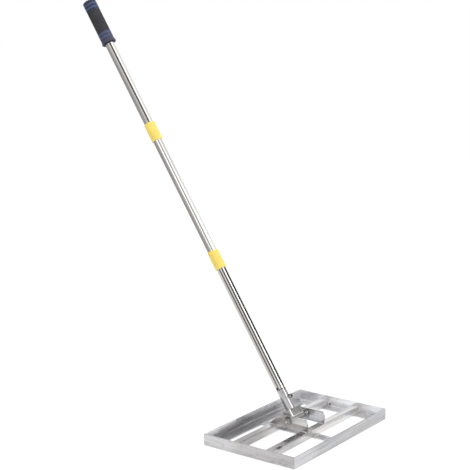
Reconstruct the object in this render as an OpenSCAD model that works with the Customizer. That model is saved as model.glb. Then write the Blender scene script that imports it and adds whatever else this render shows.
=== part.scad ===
// Lawn leveling rake: a welded grading frame that stands on the ground, and a
// screwed three-piece handle on a clevis that swings on one cross bolt.
// Origin: centre of the frame's footprint, on the ground. +X runs along the
// long rails, +Y is the side that the handle leans towards, +Z is up.

/* [Head frame] */
// Length of the frame along its long rails
head_len = 432; // [400:1:520]
// Width of the frame, front to rear
head_width = 272; // [250:1:340]
// Height of the upright wall of each rail
wall_h = 30; // [26:1:40]
// Width of the flat bottom flange of each rail
flange_w = 34; // [28:1:36]
// Thickness of the rails and the strap
plate_t = 3; // [2:0.5:4]

/* [Crossbars] */
// Outer size of the square crossbars
bar_size = 20; // [16:1:22]
// Wall of the square crossbars
bar_wall = 1.5; // [1:0.25:2.5]
// Distance between the crossbars, centre to centre
bar_spacing = 98; // [92:1:112]
// Width of the centre strap under the crossbars
strap_w = 30; // [20:1:50]

/* [Ears] */
// Free distance between the two ears
ear_gap = 74; // [70:1:84]
// Thickness of each ear
ear_t = 4; // [3:0.5:6]
// Height of the ears above the crossbars
ear_h = 32; // [30:1:40]
// How far the ears stop short of the crossbars' outer sides
ear_inset = 1; // [0:0.5:4]
// Radius of the ears' front top corner
ear_corner_r = 12; // [6:1:16]
// Length of the sloped cut at the ears' rear top corner
ear_slope_run = 36; // [20:1:40]
// Height of the short upright edge below that slope
ear_slope_foot = 3; // [1:0.5:8]

/* [Pivot] */
// Height of the pivot above the crossbars
pivot_rise = 19; // [18:0.5:20]
// Diameter of the pivot bolt
bolt_d = 8; // [6:1:10]
// Size of the bolt head and nut across their flats
hex_af = 13; // [12:1:17]
// Height of the bolt head
hex_head_h = 5.3; // [4:0.1:7]
// Height of the lock nut
nut_h = 8; // [6:0.5:10]
// Length of bolt that shows past the nut
bolt_tail = 2; // [1:0.5:6]
// Outer diameter of the flat washers
washer_d = 22; // [18:1:24]
// Thickness of the flat washers
washer_t = 1.6; // [1:0.1:2]
// Radial clearance of the bolt in its holes, and side clearance of the clevis
running_fit = 0.1; // [0.05:0.01:0.1]

/* [Spring] */
// Diameter of the spring wire
spring_wire = 2.6; // [1.5:0.1:2.6]
// Outer diameter of the spring
spring_d = 24; // [20:1:24]
// Number of coils
spring_turns = 2; // [2:1:4]

/* [Clevis] */
// Outside width of the clevis channel
clevis_w = 50; // [46:1:52]
// Thickness of the clevis plate
clevis_t = 3; // [2:0.5:4]
// Top of the clevis above the pivot, along the handle
clevis_top = 24; // [22:1:34]
// Lower edge of the clevis web above the pivot, along the handle
web_bottom = 4; // [2:0.5:10]
// Radius of the rounded lower ends of the side plates
clevis_r = 13; // [12:0.5:14]

/* [Handle] */
// Lean of the handle from upright, towards the rear
lean = 33.3; // [20:0.1:50]
// Outer diameter of the handle tube
tube_d = 25; // [22:1:28]
// Wall of the handle tube
tube_wall = 1; // [0.8:0.1:1.5]
// Start of the neck above the pivot
neck_start = 8; // [7:0.5:12]
// Top of the welded neck above the pivot
neck_top = 80; // [74:1:120]
// Wall of the neck tube
neck_wall = 2; // [1.5:0.1:3]
// Length of the lower tube
lower_len = 374; // [300:1:600]
// Length of the middle tube
middle_len = 382; // [300:1:600]
// Length of the upper tube
upper_len = 397; // [300:1:600]

/* [Joints] */
// Diameter of the threaded studs that join the tubes
stud_d = 14; // [12:0.5:16]
// Length of each stud
stud_len = 22; // [16:1:30]
// Length of the plug that holds each stud
plug_len = 34; // [28:1:44]
// Outer diameter of the collars over the joints
collar_d = 29.5; // [28.5:0.5:34]
// Length of each collar
collar_len = 52; // [40:1:80]
// Rounding at the collar ends
collar_edge = 1.2; // [0.5:0.1:1.4]

/* [Lock screw and neck bolt] */
// Thread diameter of the lock screw
lock_d = 4; // [3:0.5:5]
// Head diameter of the lock screw
lock_head_d = 7; // [6:0.5:9]
// Head height of the lock screw
lock_head_h = 1.6; // [1.5:0.1:4]
// Height of the lock screw above the foot of the lower tube
lock_rise = 4.5; // [4:0.5:10]
// Thread diameter of the neck bolt
neck_bolt_d = 6; // [5:0.5:6]
// Size of the neck bolt's head and nut across their flats
neck_hex_af = 10; // [9:0.5:11]
// Height of the neck bolt's nut
neck_nut_h = 5; // [4:0.5:6]
// Height of the neck bolt's head
neck_head_h = 4; // [3:0.5:5]
// Depth of the neck bolt below the top of the neck
neck_bolt_drop = 26; // [24:1:27]

/* [Grip] */
// Diameter of the grip
grip_d = 36; // [32:1:42]
// Length of the grip, ends included
grip_len = 129; // [110:1:180]
// Length of each coloured end cuff
cuff_len = 33; // [26:1:40]
// How much wider the flared lip is than the grip, in diameter
lip_flare = 4; // [0:0.5:6]
// Length of the flared lip
lip_len = 9; // [5:0.5:12]
// Depth of the hollow in the lower end of the grip
lip_recess = 3; // [1:0.5:4]
// Width of each light ring
ring_w = 3; // [2:0.5:4]
// Distance between the two rings of a cuff, centre to centre
ring_pitch = 10.5; // [8:0.5:12]
// How far the rings stand proud of the cuff
ring_proud = 0.3; // [0.1:0.1:0.6]
// Distance from the grip end to the nearer ring's centre
ring_inset = 17; // [16:0.5:19]
// Thickness of the closed end over the tube
cap_t = 4; // [2:0.5:6]

/* [Hidden] */
$fn = 96;

steel = [0.78, 0.77, 0.76];
bright_steel = [0.86, 0.85, 0.84];
collar_yellow = [0.96, 0.86, 0.42];
grip_black = [0.16, 0.16, 0.17];
cuff_navy = [0.13, 0.15, 0.27];
ring_blue = [0.35, 0.43, 0.62];

// Head frame levels
bar_z = plate_t;
bar_top = bar_z + bar_size;
bar_len = head_len - 2 * plate_t;
ear_z = bar_top;
ear_half = bar_spacing / 2 + bar_size / 2 - ear_inset;
ear_top = ear_z + ear_h;
pivot_z = ear_z + pivot_rise;

// Places along the pivot axis, in X
bolt_r = bolt_d / 2;
hole_r = bolt_r + running_fit;
washer_r = washer_d / 2;
thrust_r = spring_d / 2 + 0.5;
ear_in = ear_gap / 2;
ear_out = ear_in + ear_t;
clevis_left = -ear_in + washer_t + running_fit;
clevis_x = clevis_left + clevis_w / 2;
clevis_right = clevis_left + clevis_w;
spring_start = clevis_right + running_fit + washer_t;
spring_len = ear_in - spring_start;
spring_r = (spring_d - spring_wire) / 2;
hex_r = hex_af / 2 / cos(30);

// Places along the handle, measured from the pivot
tube_r = tube_d / 2;
tube_bore_r = tube_r - tube_wall;
neck_bore_r = tube_r - neck_wall;
web_y = -tube_r;
lower_joint = neck_top + lower_len;
upper_joint = lower_joint + middle_len;
tube_top = upper_joint + upper_len;
stud_r = stud_d / 2;
lock_z = neck_top + lock_rise;
lock_tip = stud_r + 1;
neck_bolt_z = neck_top - neck_bolt_drop;
neck_bolt_r = neck_bolt_d / 2;
neck_bolt_bite = 4;
neck_bolt_tip = neck_bore_r - neck_bolt_bite;
neck_hex_r = neck_hex_af / 2 / cos(30);
seat_depth = 3;
socket_depth = stud_len + 2;
socket_len = stud_len + 6;
grip_r = grip_d / 2;
grip_top = tube_top + cap_t;
grip_start = grip_top - grip_len;
sleeve_start = grip_start + cuff_len;
sleeve_end = grip_top - cuff_len;
ring_depth = 1.2;
ring_bed_r = grip_r - ring_depth;
plug_depth = 16;
weld_in = 3;
weld_w = 6;

// Least free space between the spring's coils, measured on its points
rings_per_turn = 8;
spring_points = spring_path();
spring_gap = min([
    for (i = [0 : len(spring_points) - 1])
        for (j = [i + rings_per_turn - 2 : 1 : len(spring_points) - 1])
            norm(spring_points[i] - spring_points[j])
]) - spring_wire;
echo(spring_gap = spring_gap);

// Unit vector of a
function unit(a) = a / norm(a);

// Centre line of the spring: a straight leg, the coils and a second leg
function spring_path() =
    let(
        coil_start = spring_start + spring_wire,
        coil_len = spring_len - 2 * spring_wire,
        steps = spring_turns * rings_per_turn
    )
    concat(
        [[spring_start, spring_r, 0]],
        [
            for (i = [0 : steps])
                let(a = 360 * i / rings_per_turn)
                [coil_start + coil_len * i / steps, spring_r * cos(a), spring_r * sin(a)]
        ],
        [[ear_in, spring_r, 0]]
    );

// Direction of a path at its point i
function path_dir(p, i) =
    unit(p[min(i + 1, len(p) - 1)] - p[max(i - 1, 0)]);

// One ring of a tube of radius r round point i of path p, square to the path
function tube_ring(p, i, r, sides) =
    let(
        t = path_dir(p, i),
        out = [0, p[i][1], p[i][2]],
        n = unit(out - (out * t) * t),
        b = cross(t, n)
    )
    [for (k = [0 : sides - 1]) p[i] + r * (cos(360 * k / sides) * n + sin(360 * k / sides) * b)];

// Round tube of radius r swept along path p
module swept_tube(p, r, sides) {
    rings = len(p);
    points = [for (i = [0 : rings - 1]) each tube_ring(p, i, r, sides)];
    walls = [
        for (i = [0 : rings - 2])
            for (k = [0 : sides - 1])
                let(
                    a = i * sides + k,
                    b = i * sides + (k + 1) % sides
                )
                each [[a, a + sides, b], [b, a + sides, b + sides]]
    ];
    start_cap = [for (k = [1 : sides - 2]) [0, k, k + 1]];
    last = (rings - 1) * sides;
    end_cap = [for (k = [1 : sides - 2]) [last, last + k + 1, last + k]];
    polyhedron(points = points, faces = concat(walls, start_cap, end_cap));
}

// Trapezoid seen from above, mitred at both ends, along a side of the frame
module mitred_side(side_len, depth, height) {
    linear_extrude(height = height)
        polygon([
            [-side_len / 2, 0],
            [side_len / 2, 0],
            [side_len / 2 - depth, depth],
            [-side_len / 2 + depth, depth]
        ]);
}

// Angle rail with its wall outside and its flange on the ground
module angle_rail(side_len) {
    union() {
        mitred_side(side_len, plate_t, wall_h);
        mitred_side(side_len, flange_w, plate_t);
    }
}

module front_rail() {
    color(steel)
        translate([0, -head_width / 2, 0])
            angle_rail(head_len);
}

module rear_rail() {
    color(steel)
        translate([0, head_width / 2, 0])
            rotate([0, 0, 180])
                angle_rail(head_len);
}

module near_side_rail() {
    color(steel)
        translate([-head_len / 2, 0, 0])
            rotate([0, 0, -90])
                angle_rail(head_width);
}

module far_side_rail() {
    color(steel)
        translate([head_len / 2, 0, 0])
            rotate([0, 0, 90])
                angle_rail(head_width);
}

// Square tube along X at distance y from the middle
module crossbar(y) {
    bore = bar_size - 2 * bar_wall;
    translate([-bar_len / 2, y - bar_size / 2, bar_z])
        difference() {
            cube([bar_len, bar_size, bar_size]);
            translate([-1, bar_wall, bar_wall])
                cube([bar_len + 2, bore, bore]);
        }
}

module front_crossbar() {
    color(steel) crossbar(-bar_spacing / 2);
}

module rear_crossbar() {
    color(steel) crossbar(bar_spacing / 2);
}

module centre_strap() {
    strap_len = head_width - 2 * flange_w;
    color(steel)
        translate([-strap_w / 2, -strap_len / 2, 0])
            cube([strap_w, strap_len, plate_t]);
}

// Turns an outline drawn in Y and Z into a plate from x to x + t
module side_plate(x, t) {
    translate([x, 0, 0])
        rotate([90, 0, 90])
            linear_extrude(height = t)
                children();
}

// Side view of an ear with a square front corner and a sloped rear corner
module ear_outline() {
    polygon([
        [-ear_half, ear_z],
        [-ear_half, ear_top],
        [ear_half - ear_slope_run, ear_top],
        [ear_half, ear_z + ear_slope_foot],
        [ear_half, ear_z]
    ]);
}

// What is cut off an ear that starts at x, to round its front top corner
module corner_waste(x) {
    difference() {
        translate([x - 1, -ear_half - 1, ear_top - ear_corner_r])
            cube([ear_t + 2, ear_corner_r + 1, ear_corner_r + 1]);
        translate([x - 2, -ear_half + ear_corner_r, ear_top - ear_corner_r])
            rotate([0, 90, 0])
                cylinder(h = ear_t + 4, r = ear_corner_r);
    }
}

module ear(x) {
    difference() {
        side_plate(x, ear_t) ear_outline();
        corner_waste(x);
        on_pivot(x - 1)
            cylinder(h = ear_t + 2, r = hole_r);
    }
}

module near_ear() {
    color(steel) ear(-ear_out);
}

module far_ear() {
    color(steel) ear(ear_in);
}

// Puts a shape drawn along +Z onto the pivot axis, starting at x
module on_pivot(x) {
    translate([x, 0, pivot_z])
        rotate([0, 90, 0])
            children();
}

module flat_washer(x, r) {
    on_pivot(x)
        difference() {
            cylinder(h = washer_t, r = r);
            translate([0, 0, -1])
                cylinder(h = washer_t + 2, r = hole_r);
        }
}

module pivot_bolt() {
    head_x = ear_out + washer_t;
    tip_x = -ear_out - washer_t - nut_h - bolt_tail;
    color(bright_steel)
        union() {
            on_pivot(head_x)
                cylinder(h = hex_head_h, r = hex_r, $fn = 6);
            on_pivot(tip_x)
                cylinder(h = head_x - tip_x, r = bolt_r);
        }
}

module pivot_nut() {
    color(bright_steel)
        on_pivot(-ear_out - washer_t - nut_h)
            difference() {
                cylinder(h = nut_h, r = hex_r, $fn = 6);
                translate([0, 0, -1])
                    cylinder(h = nut_h + 2, r = bolt_r);
            }
}

module pivot_washers() {
    color(bright_steel) {
        flat_washer(-ear_out - washer_t, washer_r);
        flat_washer(ear_out, washer_r);
    }
}

module thrust_washers() {
    color(bright_steel) {
        flat_washer(-ear_in, thrust_r);
        flat_washer(clevis_right + running_fit, thrust_r);
    }
}

module pivot_spring() {
    color(bright_steel)
        translate([0, 0, pivot_z])
            swept_tube(spring_points, spring_wire / 2, 6);
}

// Frame of the handle: +Z runs up the handle from the pivot, -Y is its front
module on_handle() {
    translate([clevis_x, 0, pivot_z])
        rotate([-lean, 0, 0])
            children();
}

// Side view of a clevis side plate: round end, bolt hole, front at the web
module clevis_side_outline() {
    difference() {
        union() {
            circle(r = clevis_r);
            polygon([
                [web_y - clevis_t, web_bottom],
                [web_y - clevis_t, clevis_top],
                [clevis_r, clevis_top],
                [clevis_r, 0],
                [-clevis_r, 0]
            ]);
        }
        circle(r = hole_r);
    }
}

module clevis() {
    color(steel)
        on_handle()
            union() {
                side_plate(-clevis_w / 2, clevis_t) clevis_side_outline();
                side_plate(clevis_w / 2 - clevis_t, clevis_t) clevis_side_outline();
                translate([-clevis_w / 2, web_y - clevis_t, web_bottom])
                    cube([clevis_w, clevis_t, clevis_top - web_bottom]);
            }
}

// Tube along the handle from z0 to z1
module handle_tube(z0, z1, r_out, r_in) {
    difference() {
        translate([0, 0, z0])
            cylinder(h = z1 - z0, r = r_out);
        translate([0, 0, z0 - 1])
            cylinder(h = z1 - z0 + 2, r = r_in);
    }
}

// Turns a shape drawn along +Z outwards to the front of the handle at height z
module to_front(z) {
    translate([0, 0, z])
        rotate([90, 0, 0])
            children();
}

// Turns a shape drawn along +Z outwards to the near side of the handle at z
module to_near_side(z) {
    translate([0, 0, z])
        rotate([0, -90, 0])
            children();
}

// Cuts a piece on the handle to the round outside of the tube
module seat_on_tube() {
    difference() {
        children();
        handle_tube(neck_start, lower_joint, tube_r, 0);
    }
}

// Solid round bar from height z0 to z1 above the axis that it is turned from
module shank(z0, z1, r) {
    translate([0, 0, z0])
        cylinder(h = z1 - z0, r = r);
}

module neck_tube() {
    color(steel)
        on_handle()
            difference() {
                handle_tube(neck_start, neck_top, tube_r, neck_bore_r);
                to_front(neck_bolt_z)
                    shank(0, tube_r + 1, neck_bolt_r + running_fit);
            }
}

// Fillet weld on one side of the neck, between its tube and the clevis web
module neck_weld() {
    translate([0, 0, neck_start])
        linear_extrude(height = clevis_top - neck_start)
            difference() {
                polygon([
                    [weld_in, web_y],
                    [weld_in + weld_w, web_y],
                    [weld_in, web_y + weld_w]
                ]);
                circle(r = tube_r);
            }
}

module neck_welds() {
    color(steel)
        on_handle() {
            neck_weld();
            mirror([1, 0, 0])
                neck_weld();
        }
}

// Plug inside the tube below z with a stud that stands above z
module joint_stud(z, plug_r) {
    translate([0, 0, z - plug_len])
        cylinder(h = plug_len, r = plug_r);
    translate([0, 0, z])
        cylinder(h = stud_len, r = stud_r);
}

// Blind insert at the foot of a tube that takes the stud
module joint_socket(z) {
    difference() {
        translate([0, 0, z])
            cylinder(h = socket_len, r = tube_bore_r);
        translate([0, 0, z - 1])
            cylinder(h = socket_depth + 1, r = stud_r + running_fit);
    }
}

module neck_stud() {
    color(bright_steel)
        on_handle()
            difference() {
                joint_stud(neck_top, neck_bore_r);
                to_front(neck_bolt_z)
                    shank(neck_bolt_tip, tube_r, neck_bolt_r);
            }
}

// Nut welded on the front of the neck, for the set bolt of the stud
module neck_nut() {
    color(steel)
        on_handle()
            difference() {
                seat_on_tube()
                    to_front(neck_bolt_z)
                        translate([0, 0, tube_r - seat_depth])
                            cylinder(h = seat_depth + neck_nut_h, r = neck_hex_r, $fn = 6);
                to_front(neck_bolt_z)
                    shank(0, tube_r + neck_nut_h + 1, neck_bolt_r);
            }
}

module neck_bolt() {
    color(bright_steel)
        on_handle()
            to_front(neck_bolt_z)
                union() {
                    shank(neck_bolt_tip, tube_r + neck_nut_h, neck_bolt_r);
                    translate([0, 0, tube_r + neck_nut_h])
                        cylinder(h = neck_head_h, r = neck_hex_r, $fn = 6);
                }
}

// Round lock screw at the near side, through the tube wall and into the insert
module lock_screw() {
    color(bright_steel)
        on_handle()
            union() {
                seat_on_tube()
                    to_near_side(lock_z)
                        shank(tube_r - seat_depth, tube_r + lock_head_h, lock_head_d / 2);
                to_near_side(lock_z)
                    shank(lock_tip, tube_r + lock_head_h / 2, lock_d / 2);
            }
}

module lock_hole() {
    to_near_side(lock_z)
        shank(lock_tip, tube_r + 1, lock_d / 2);
}

module lower_socket() {
    color(bright_steel)
        on_handle()
            difference() {
                joint_socket(neck_top);
                lock_hole();
            }
}

module lower_tube() {
    color(bright_steel)
        on_handle()
            difference() {
                handle_tube(neck_top, lower_joint, tube_r, tube_bore_r);
                lock_hole();
            }
}

module lower_stud() {
    color(bright_steel) on_handle() joint_stud(lower_joint, tube_bore_r);
}

module middle_socket() {
    color(bright_steel) on_handle() joint_socket(lower_joint);
}

module middle_tube() {
    color(bright_steel)
        on_handle()
            handle_tube(lower_joint, upper_joint, tube_r, tube_bore_r);
}

module middle_stud() {
    color(bright_steel) on_handle() joint_stud(upper_joint, tube_bore_r);
}

module upper_socket() {
    color(bright_steel) on_handle() joint_socket(upper_joint);
}

module upper_tube() {
    color(bright_steel)
        on_handle()
            handle_tube(upper_joint, tube_top, tube_r, tube_bore_r);
}

module tube_plug() {
    color(grip_black)
        on_handle()
            translate([0, 0, tube_top - plug_depth])
                cylinder(h = plug_depth, r = tube_bore_r);
}

// Sleeve over a joint at height z, with rounded ends
module collar(z) {
    half = collar_len / 2;
    r = collar_d / 2;
    translate([0, 0, z])
        rotate_extrude()
            polygon([
                [tube_r, -half],
                [r - collar_edge, -half],
                [r, -half + collar_edge],
                [r, half - collar_edge],
                [r - collar_edge, half],
                [tube_r, half]
            ]);
}

module lower_collar() {
    color(collar_yellow) on_handle() collar(lower_joint);
}

module upper_collar() {
    color(collar_yellow) on_handle() collar(upper_joint);
}

module grip_sleeve() {
    color(grip_black)
        on_handle()
            handle_tube(sleeve_start, sleeve_end, grip_r, tube_r);
}

// The four places of the light rings, centre heights along the handle
ring_heights = [
    grip_start + ring_inset,
    grip_start + ring_inset + ring_pitch,
    grip_top - ring_inset + ring_pitch / 2,
    grip_top - ring_inset - ring_pitch / 2
];

module light_ring(z, proud) {
    handle_tube(z - ring_w / 2, z + ring_w / 2, grip_r + proud, ring_bed_r);
}

// Cuff at the lower end: flared lip that is hollow underneath
module lower_cuff() {
    lip_r = grip_r + lip_flare / 2;
    recess_r = grip_r - 2;
    color(cuff_navy)
        on_handle()
            difference() {
                rotate_extrude()
                    polygon([
                        [tube_r, grip_start + lip_recess],
                        [recess_r, grip_start + lip_recess],
                        [recess_r, grip_start],
                        [lip_r, grip_start],
                        [lip_r, grip_start + 1.5],
                        [grip_r, grip_start + lip_len],
                        [grip_r, sleeve_start],
                        [tube_r, sleeve_start]
                    ]);
                light_ring(ring_heights[0], 1);
                light_ring(ring_heights[1], 1);
            }
}

// Cuff at the upper end: closed over the tube, with a rounded rim
module upper_cuff() {
    rim = 2;
    color(cuff_navy)
        on_handle()
            difference() {
                rotate_extrude()
                    polygon([
                        [tube_r, sleeve_end],
                        [grip_r, sleeve_end],
                        [grip_r, grip_top - rim],
                        [grip_r - rim * (1 - cos(45)), grip_top - rim * (1 - sin(45))],
                        [grip_r - rim, grip_top],
                        [0, grip_top],
                        [0, tube_top],
                        [tube_r, tube_top]
                    ]);
                light_ring(ring_heights[2], 1);
                light_ring(ring_heights[3], 1);
            }
}

module grip_rings() {
    color(ring_blue)
        on_handle()
            for (z = ring_heights)
                light_ring(z, ring_proud);
}

front_rail();
rear_rail();
near_side_rail();
far_side_rail();
front_crossbar();
rear_crossbar();
centre_strap();
near_ear();
far_ear();
pivot_bolt();
pivot_nut();
pivot_washers();
thrust_washers();
pivot_spring();
clevis();
neck_tube();
neck_welds();
neck_stud();
neck_nut();
neck_bolt();
lock_screw();
lower_socket();
lower_tube();
lower_stud();
lower_collar();
middle_socket();
middle_tube();
middle_stud();
upper_collar();
upper_socket();
upper_tube();
tube_plug();
grip_sleeve();
lower_cuff();
upper_cuff();
grip_rings();
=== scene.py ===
import math
import bpy
import bmesh
from mathutils import Matrix, Vector


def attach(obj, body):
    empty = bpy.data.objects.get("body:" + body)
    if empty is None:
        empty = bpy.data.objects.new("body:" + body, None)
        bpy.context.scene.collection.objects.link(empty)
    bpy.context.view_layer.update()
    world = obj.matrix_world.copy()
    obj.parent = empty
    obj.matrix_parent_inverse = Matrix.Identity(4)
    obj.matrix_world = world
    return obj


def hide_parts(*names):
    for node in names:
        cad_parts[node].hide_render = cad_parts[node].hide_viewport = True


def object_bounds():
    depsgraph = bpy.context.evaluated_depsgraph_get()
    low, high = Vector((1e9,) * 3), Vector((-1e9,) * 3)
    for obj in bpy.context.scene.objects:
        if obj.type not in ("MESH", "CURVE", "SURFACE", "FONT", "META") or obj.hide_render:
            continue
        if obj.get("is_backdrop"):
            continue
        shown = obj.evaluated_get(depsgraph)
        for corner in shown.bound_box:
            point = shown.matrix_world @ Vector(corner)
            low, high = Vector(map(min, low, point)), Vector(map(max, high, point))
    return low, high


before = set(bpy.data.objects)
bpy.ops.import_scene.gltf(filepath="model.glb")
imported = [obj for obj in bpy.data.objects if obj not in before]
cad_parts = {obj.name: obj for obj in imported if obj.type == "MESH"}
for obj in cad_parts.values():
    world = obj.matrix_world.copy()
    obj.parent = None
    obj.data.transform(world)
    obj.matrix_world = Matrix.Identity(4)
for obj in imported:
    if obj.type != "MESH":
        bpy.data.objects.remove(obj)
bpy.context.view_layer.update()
scene = bpy.context.scene
scene.view_settings.view_transform = "Standard"
print("frame loaded,", len(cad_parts), "nodes")

# sizes are in millimetres, as in the part; pieces turn into metres when they are finished
head = {
    "length": 432, "width": 272, "wallHeight": 30, "flange": 34, "plate": 3,
    "outerBend": 1.2, "innerBend": 2.2, "edge": 0.5,
}
handle = {"leanDegrees": 33.3, "x": -10.3, "pivotHeight": 42, "tubeRadius": 12.5, "neckBoltHeight": 54}
upright = Matrix.Identity(4)
onHandle = Matrix.Translation((handle["x"], 0, handle["pivotHeight"])) @ Matrix.Rotation(
    math.radians(-handle["leanDegrees"]), 4, "X")
acrossPivot = Matrix.Translation((0, 0, handle["pivotHeight"])) @ Matrix.Rotation(math.radians(90), 4, "Y")


def makeCamera():
    view = {
        "place": (-2.645, -1.745, 1.184), "lens": 99.57, "sensor": 36,
        "right": (0.5920, -0.8059, 0.0), "up": (0.1662, 0.1221, 0.9785), "back": (-0.7886, -0.5793, 0.2062),
    }
    data = bpy.data.cameras.new("camera")
    data.lens, data.sensor_width = view["lens"], view["sensor"]
    data.clip_start, data.clip_end = 0.05, 60
    camera = bpy.data.objects.new("camera", data)
    scene.collection.objects.link(camera)
    turn = Matrix((view["right"], view["up"], view["back"])).transposed().to_4x4()
    camera.matrix_world = Matrix.Translation(view["place"]) @ turn
    scene.camera = camera


makeCamera()
print("camera placed")


# shader arithmetic: a Wire is a socket that takes plain Python maths
class Wire:
    def __init__(self, tree, socket):
        self.tree, self.socket = tree, socket

    def join(self, operation, first, second):
        node = self.tree.nodes.new("ShaderNodeMath")
        node.operation = operation
        for socket, value in zip(node.inputs, (first, second)):
            plug(self.tree, socket, value)
        return Wire(self.tree, node.outputs[0])

    def __add__(self, other):
        return self.join("ADD", self, other)

    def __sub__(self, other):
        return self.join("SUBTRACT", self, other)

    def __rsub__(self, other):
        return self.join("SUBTRACT", other, self)

    def __mul__(self, other):
        return self.join("MULTIPLY", self, other)

    def __pow__(self, other):
        return self.join("POWER", self, other)


def plug(tree, socket, value):
    if isinstance(value, Wire):
        tree.links.new(value.socket, socket)
    elif isinstance(value, (tuple, list)) and len(value) == 3 and len(socket.default_value) == 4:
        socket.default_value = (*value, 1)
    else:
        socket.default_value = value


class Finish:
    def __init__(self, name, **shaderValues):
        self.material = bpy.data.materials.new(name)
        self.material.use_nodes = True
        self.tree = self.material.node_tree
        self.tree.nodes.clear()
        self.output = self.tree.nodes.new("ShaderNodeOutputMaterial")
        self.shader = self.tree.nodes.new("ShaderNodeBsdfPrincipled")
        self.tree.links.new(self.shader.outputs[0], self.output.inputs[0])
        self.set(**shaderValues)

    # socket names are written with an underscore for each space
    def set(self, **values):
        for name, value in values.items():
            plug(self.tree, self.shader.inputs[name.replace("_", " ")], value)
        return self

    def node(self, kind, settings=None, sockets=None, output=0):
        node = self.tree.nodes.new("ShaderNode" + kind)
        for name, value in (settings or {}).items():
            setattr(node, name, value)
        for name, value in (sockets or {}).items():
            plug(self.tree, node.inputs[name], value)
        return Wire(self.tree, node.outputs[output])

    # object coordinates in metres, moved, turned about X and stretched
    def coords(self, centre=(0, 0, 0), turn=0, stretch=(1, 1, 1)):
        place = self.node("TexCoord", output=3)
        return self.node("Mapping", {"vector_type": "TEXTURE"}, {
            "Vector": place, "Location": centre, "Rotation": (math.radians(turn), 0, 0), "Scale": stretch})

    # the same along the leaning handle, from its pivot
    def handleCoords(self, stretch=(1, 1, 1)):
        pivot = (handle["x"] / 1000, 0, handle["pivotHeight"] / 1000)
        return self.coords(pivot, -handle["leanDegrees"], stretch)

    def noise(self, where, size, detail=2, roughness=0.5):
        return self.node("TexNoise", None, {
            "Vector": where, "Scale": 1 / size, "Detail": detail, "Roughness": roughness})

    def band(self, value, low, high):
        return self.node("MapRange", {"interpolation_type": "SMOOTHSTEP"}, {
            "Value": value, "From Min": low, "From Max": high, "To Min": 0.0, "To Max": 1.0})

    def mix(self, mask, first, second):
        return self.node("Mix", {"data_type": "RGBA"}, {0: mask, 6: first, 7: second}, output=2)

    def axis(self, where, letter):
        return self.node("SeparateXYZ", None, {"Vector": where}, output="XYZ".index(letter))

    def bump(self, height, distance, strength=1.0):
        return self.node("Bump", None, {"Height": height, "Distance": distance, "Strength": strength})


# brushed plate: streaks along one axis at three widths, clouds, smudges, zones of other tones (mostly painted
# reflections and shade) and patches of painted dark reflection
def brushedPlate(name, along, tone, zones=(), rough=(0.26, 0.40), contrast=1.0, shift=0.0, leaning=False,
                 darkReflections=()):
    finish = Finish(name, Metallic=1.0)

    def streaks(width, length, detail):
        stretch = tuple(length if letter == along else width for letter in "XYZ")
        return finish.noise(finish.coords((shift, shift, 0), 0, stretch), 1.0, detail, 0.6)

    fine, medium, wide = streaks(0.0007, 0.06, 3), streaks(0.0024, 0.11, 2), streaks(0.009, 0.2, 2)
    clouds = finish.noise(finish.coords((0.3 + shift, 0.1, 0)), 0.045, 2, 0.5)
    smudge = finish.noise(finish.coords((shift, 0.2, 0.05)), 0.013, 3, 0.55)
    warm, cool = (tone[0] * 1.015, tone[1], tone[2] * 0.98), (tone[0] * 0.985, tone[1], tone[2] * 1.02)
    colour = finish.mix(finish.band(clouds, 0.40, 0.60), warm, cool)
    place = finish.handleCoords() if leaning else finish.coords()
    patches = 1.0
    # patches of painted dark reflection, broken up by noise
    if darkReflections:
        patches = finish.band(finish.noise(finish.coords((0, 0.03, 0)), 0.007, 3, 0.6), 0.40, 0.54)
    painted = [(1.0, zone) for zone in zones] + [(patches, darkReflection) for darkReflection in darkReflections]
    for mask, (zoneTone, soft, *limits) in painted:
        for letter, low, high in limits:
            where = finish.axis(place, letter)
            rise = finish.band(where, (low - soft) / 1000, (low + soft) / 1000)
            fall = finish.band(where, (high - soft) / 1000, (high + soft) / 1000)
            mask = rise * (1 - fall) * mask
        colour = finish.mix(mask, colour, zoneTone)
    light = (fine - 0.5) * (0.8 * contrast) + (medium - 0.5) * contrast
    light = light + (wide - 0.5) * (0.9 * contrast) + 1.0
    light = light - finish.band(smudge, 0.56, 0.72) * (0.24 * contrast)
    colour = finish.node("VectorMath", {"operation": "SCALE"}, {0: colour, 3: light})
    finish.set(Base_Color=colour)
    finish.set(Roughness=finish.band(fine, 0.3, 0.7) * (rough[1] - rough[0]) + rough[0])
    finish.set(Normal=finish.bump(fine * 0.5 + medium * 0.5, 0.00010, 0.5))
    return finish.material


# painted shade in the gap where the lower tube meets the neck: the stretches over which it fades in and out,
# in millimetres along the handle
neckGapShade = {"fadeIn": (79.3, 79.7), "fadeOut": (80.9, 81.4), "tone": (0.08, 0.08, 0.08)}


# handle tube: bright, drawn lengthwise, with fine lines and a band of painted shade at the neck joint
def drawnTube(name, tone, rough, tint=(1.0, 0.985, 0.97)):
    finish = Finish(name, Metallic=1.0)
    lines = finish.noise(finish.handleCoords((0.0007, 0.0007, 0.12)), 1.0, 3, 0.6)
    clouds = finish.noise(finish.handleCoords((0.02, 0.02, 0.16)), 1.0, 2, 0.5)
    light = tuple(tone * c for c in tint)
    dark = tuple(tone * c * 0.88 for c in tint)
    height = finish.axis(finish.handleCoords(), "Z")
    # painted shade in the gap at the neck joint
    limits = (neckGapShade["fadeIn"], neckGapShade["fadeOut"])
    rise, fall = [finish.band(height, low / 1000, high / 1000) for low, high in limits]
    colour = finish.mix(finish.band(clouds, 0.35, 0.65) * 0.6, light, dark)
    finish.set(Base_Color=finish.mix(rise * (1 - fall), colour, neckGapShade["tone"]))
    finish.set(Roughness=finish.band(lines, 0.3, 0.7) * 0.07 + rough)
    finish.set(Normal=finish.bump(lines, 0.00002, 0.4))
    return finish.material


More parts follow.
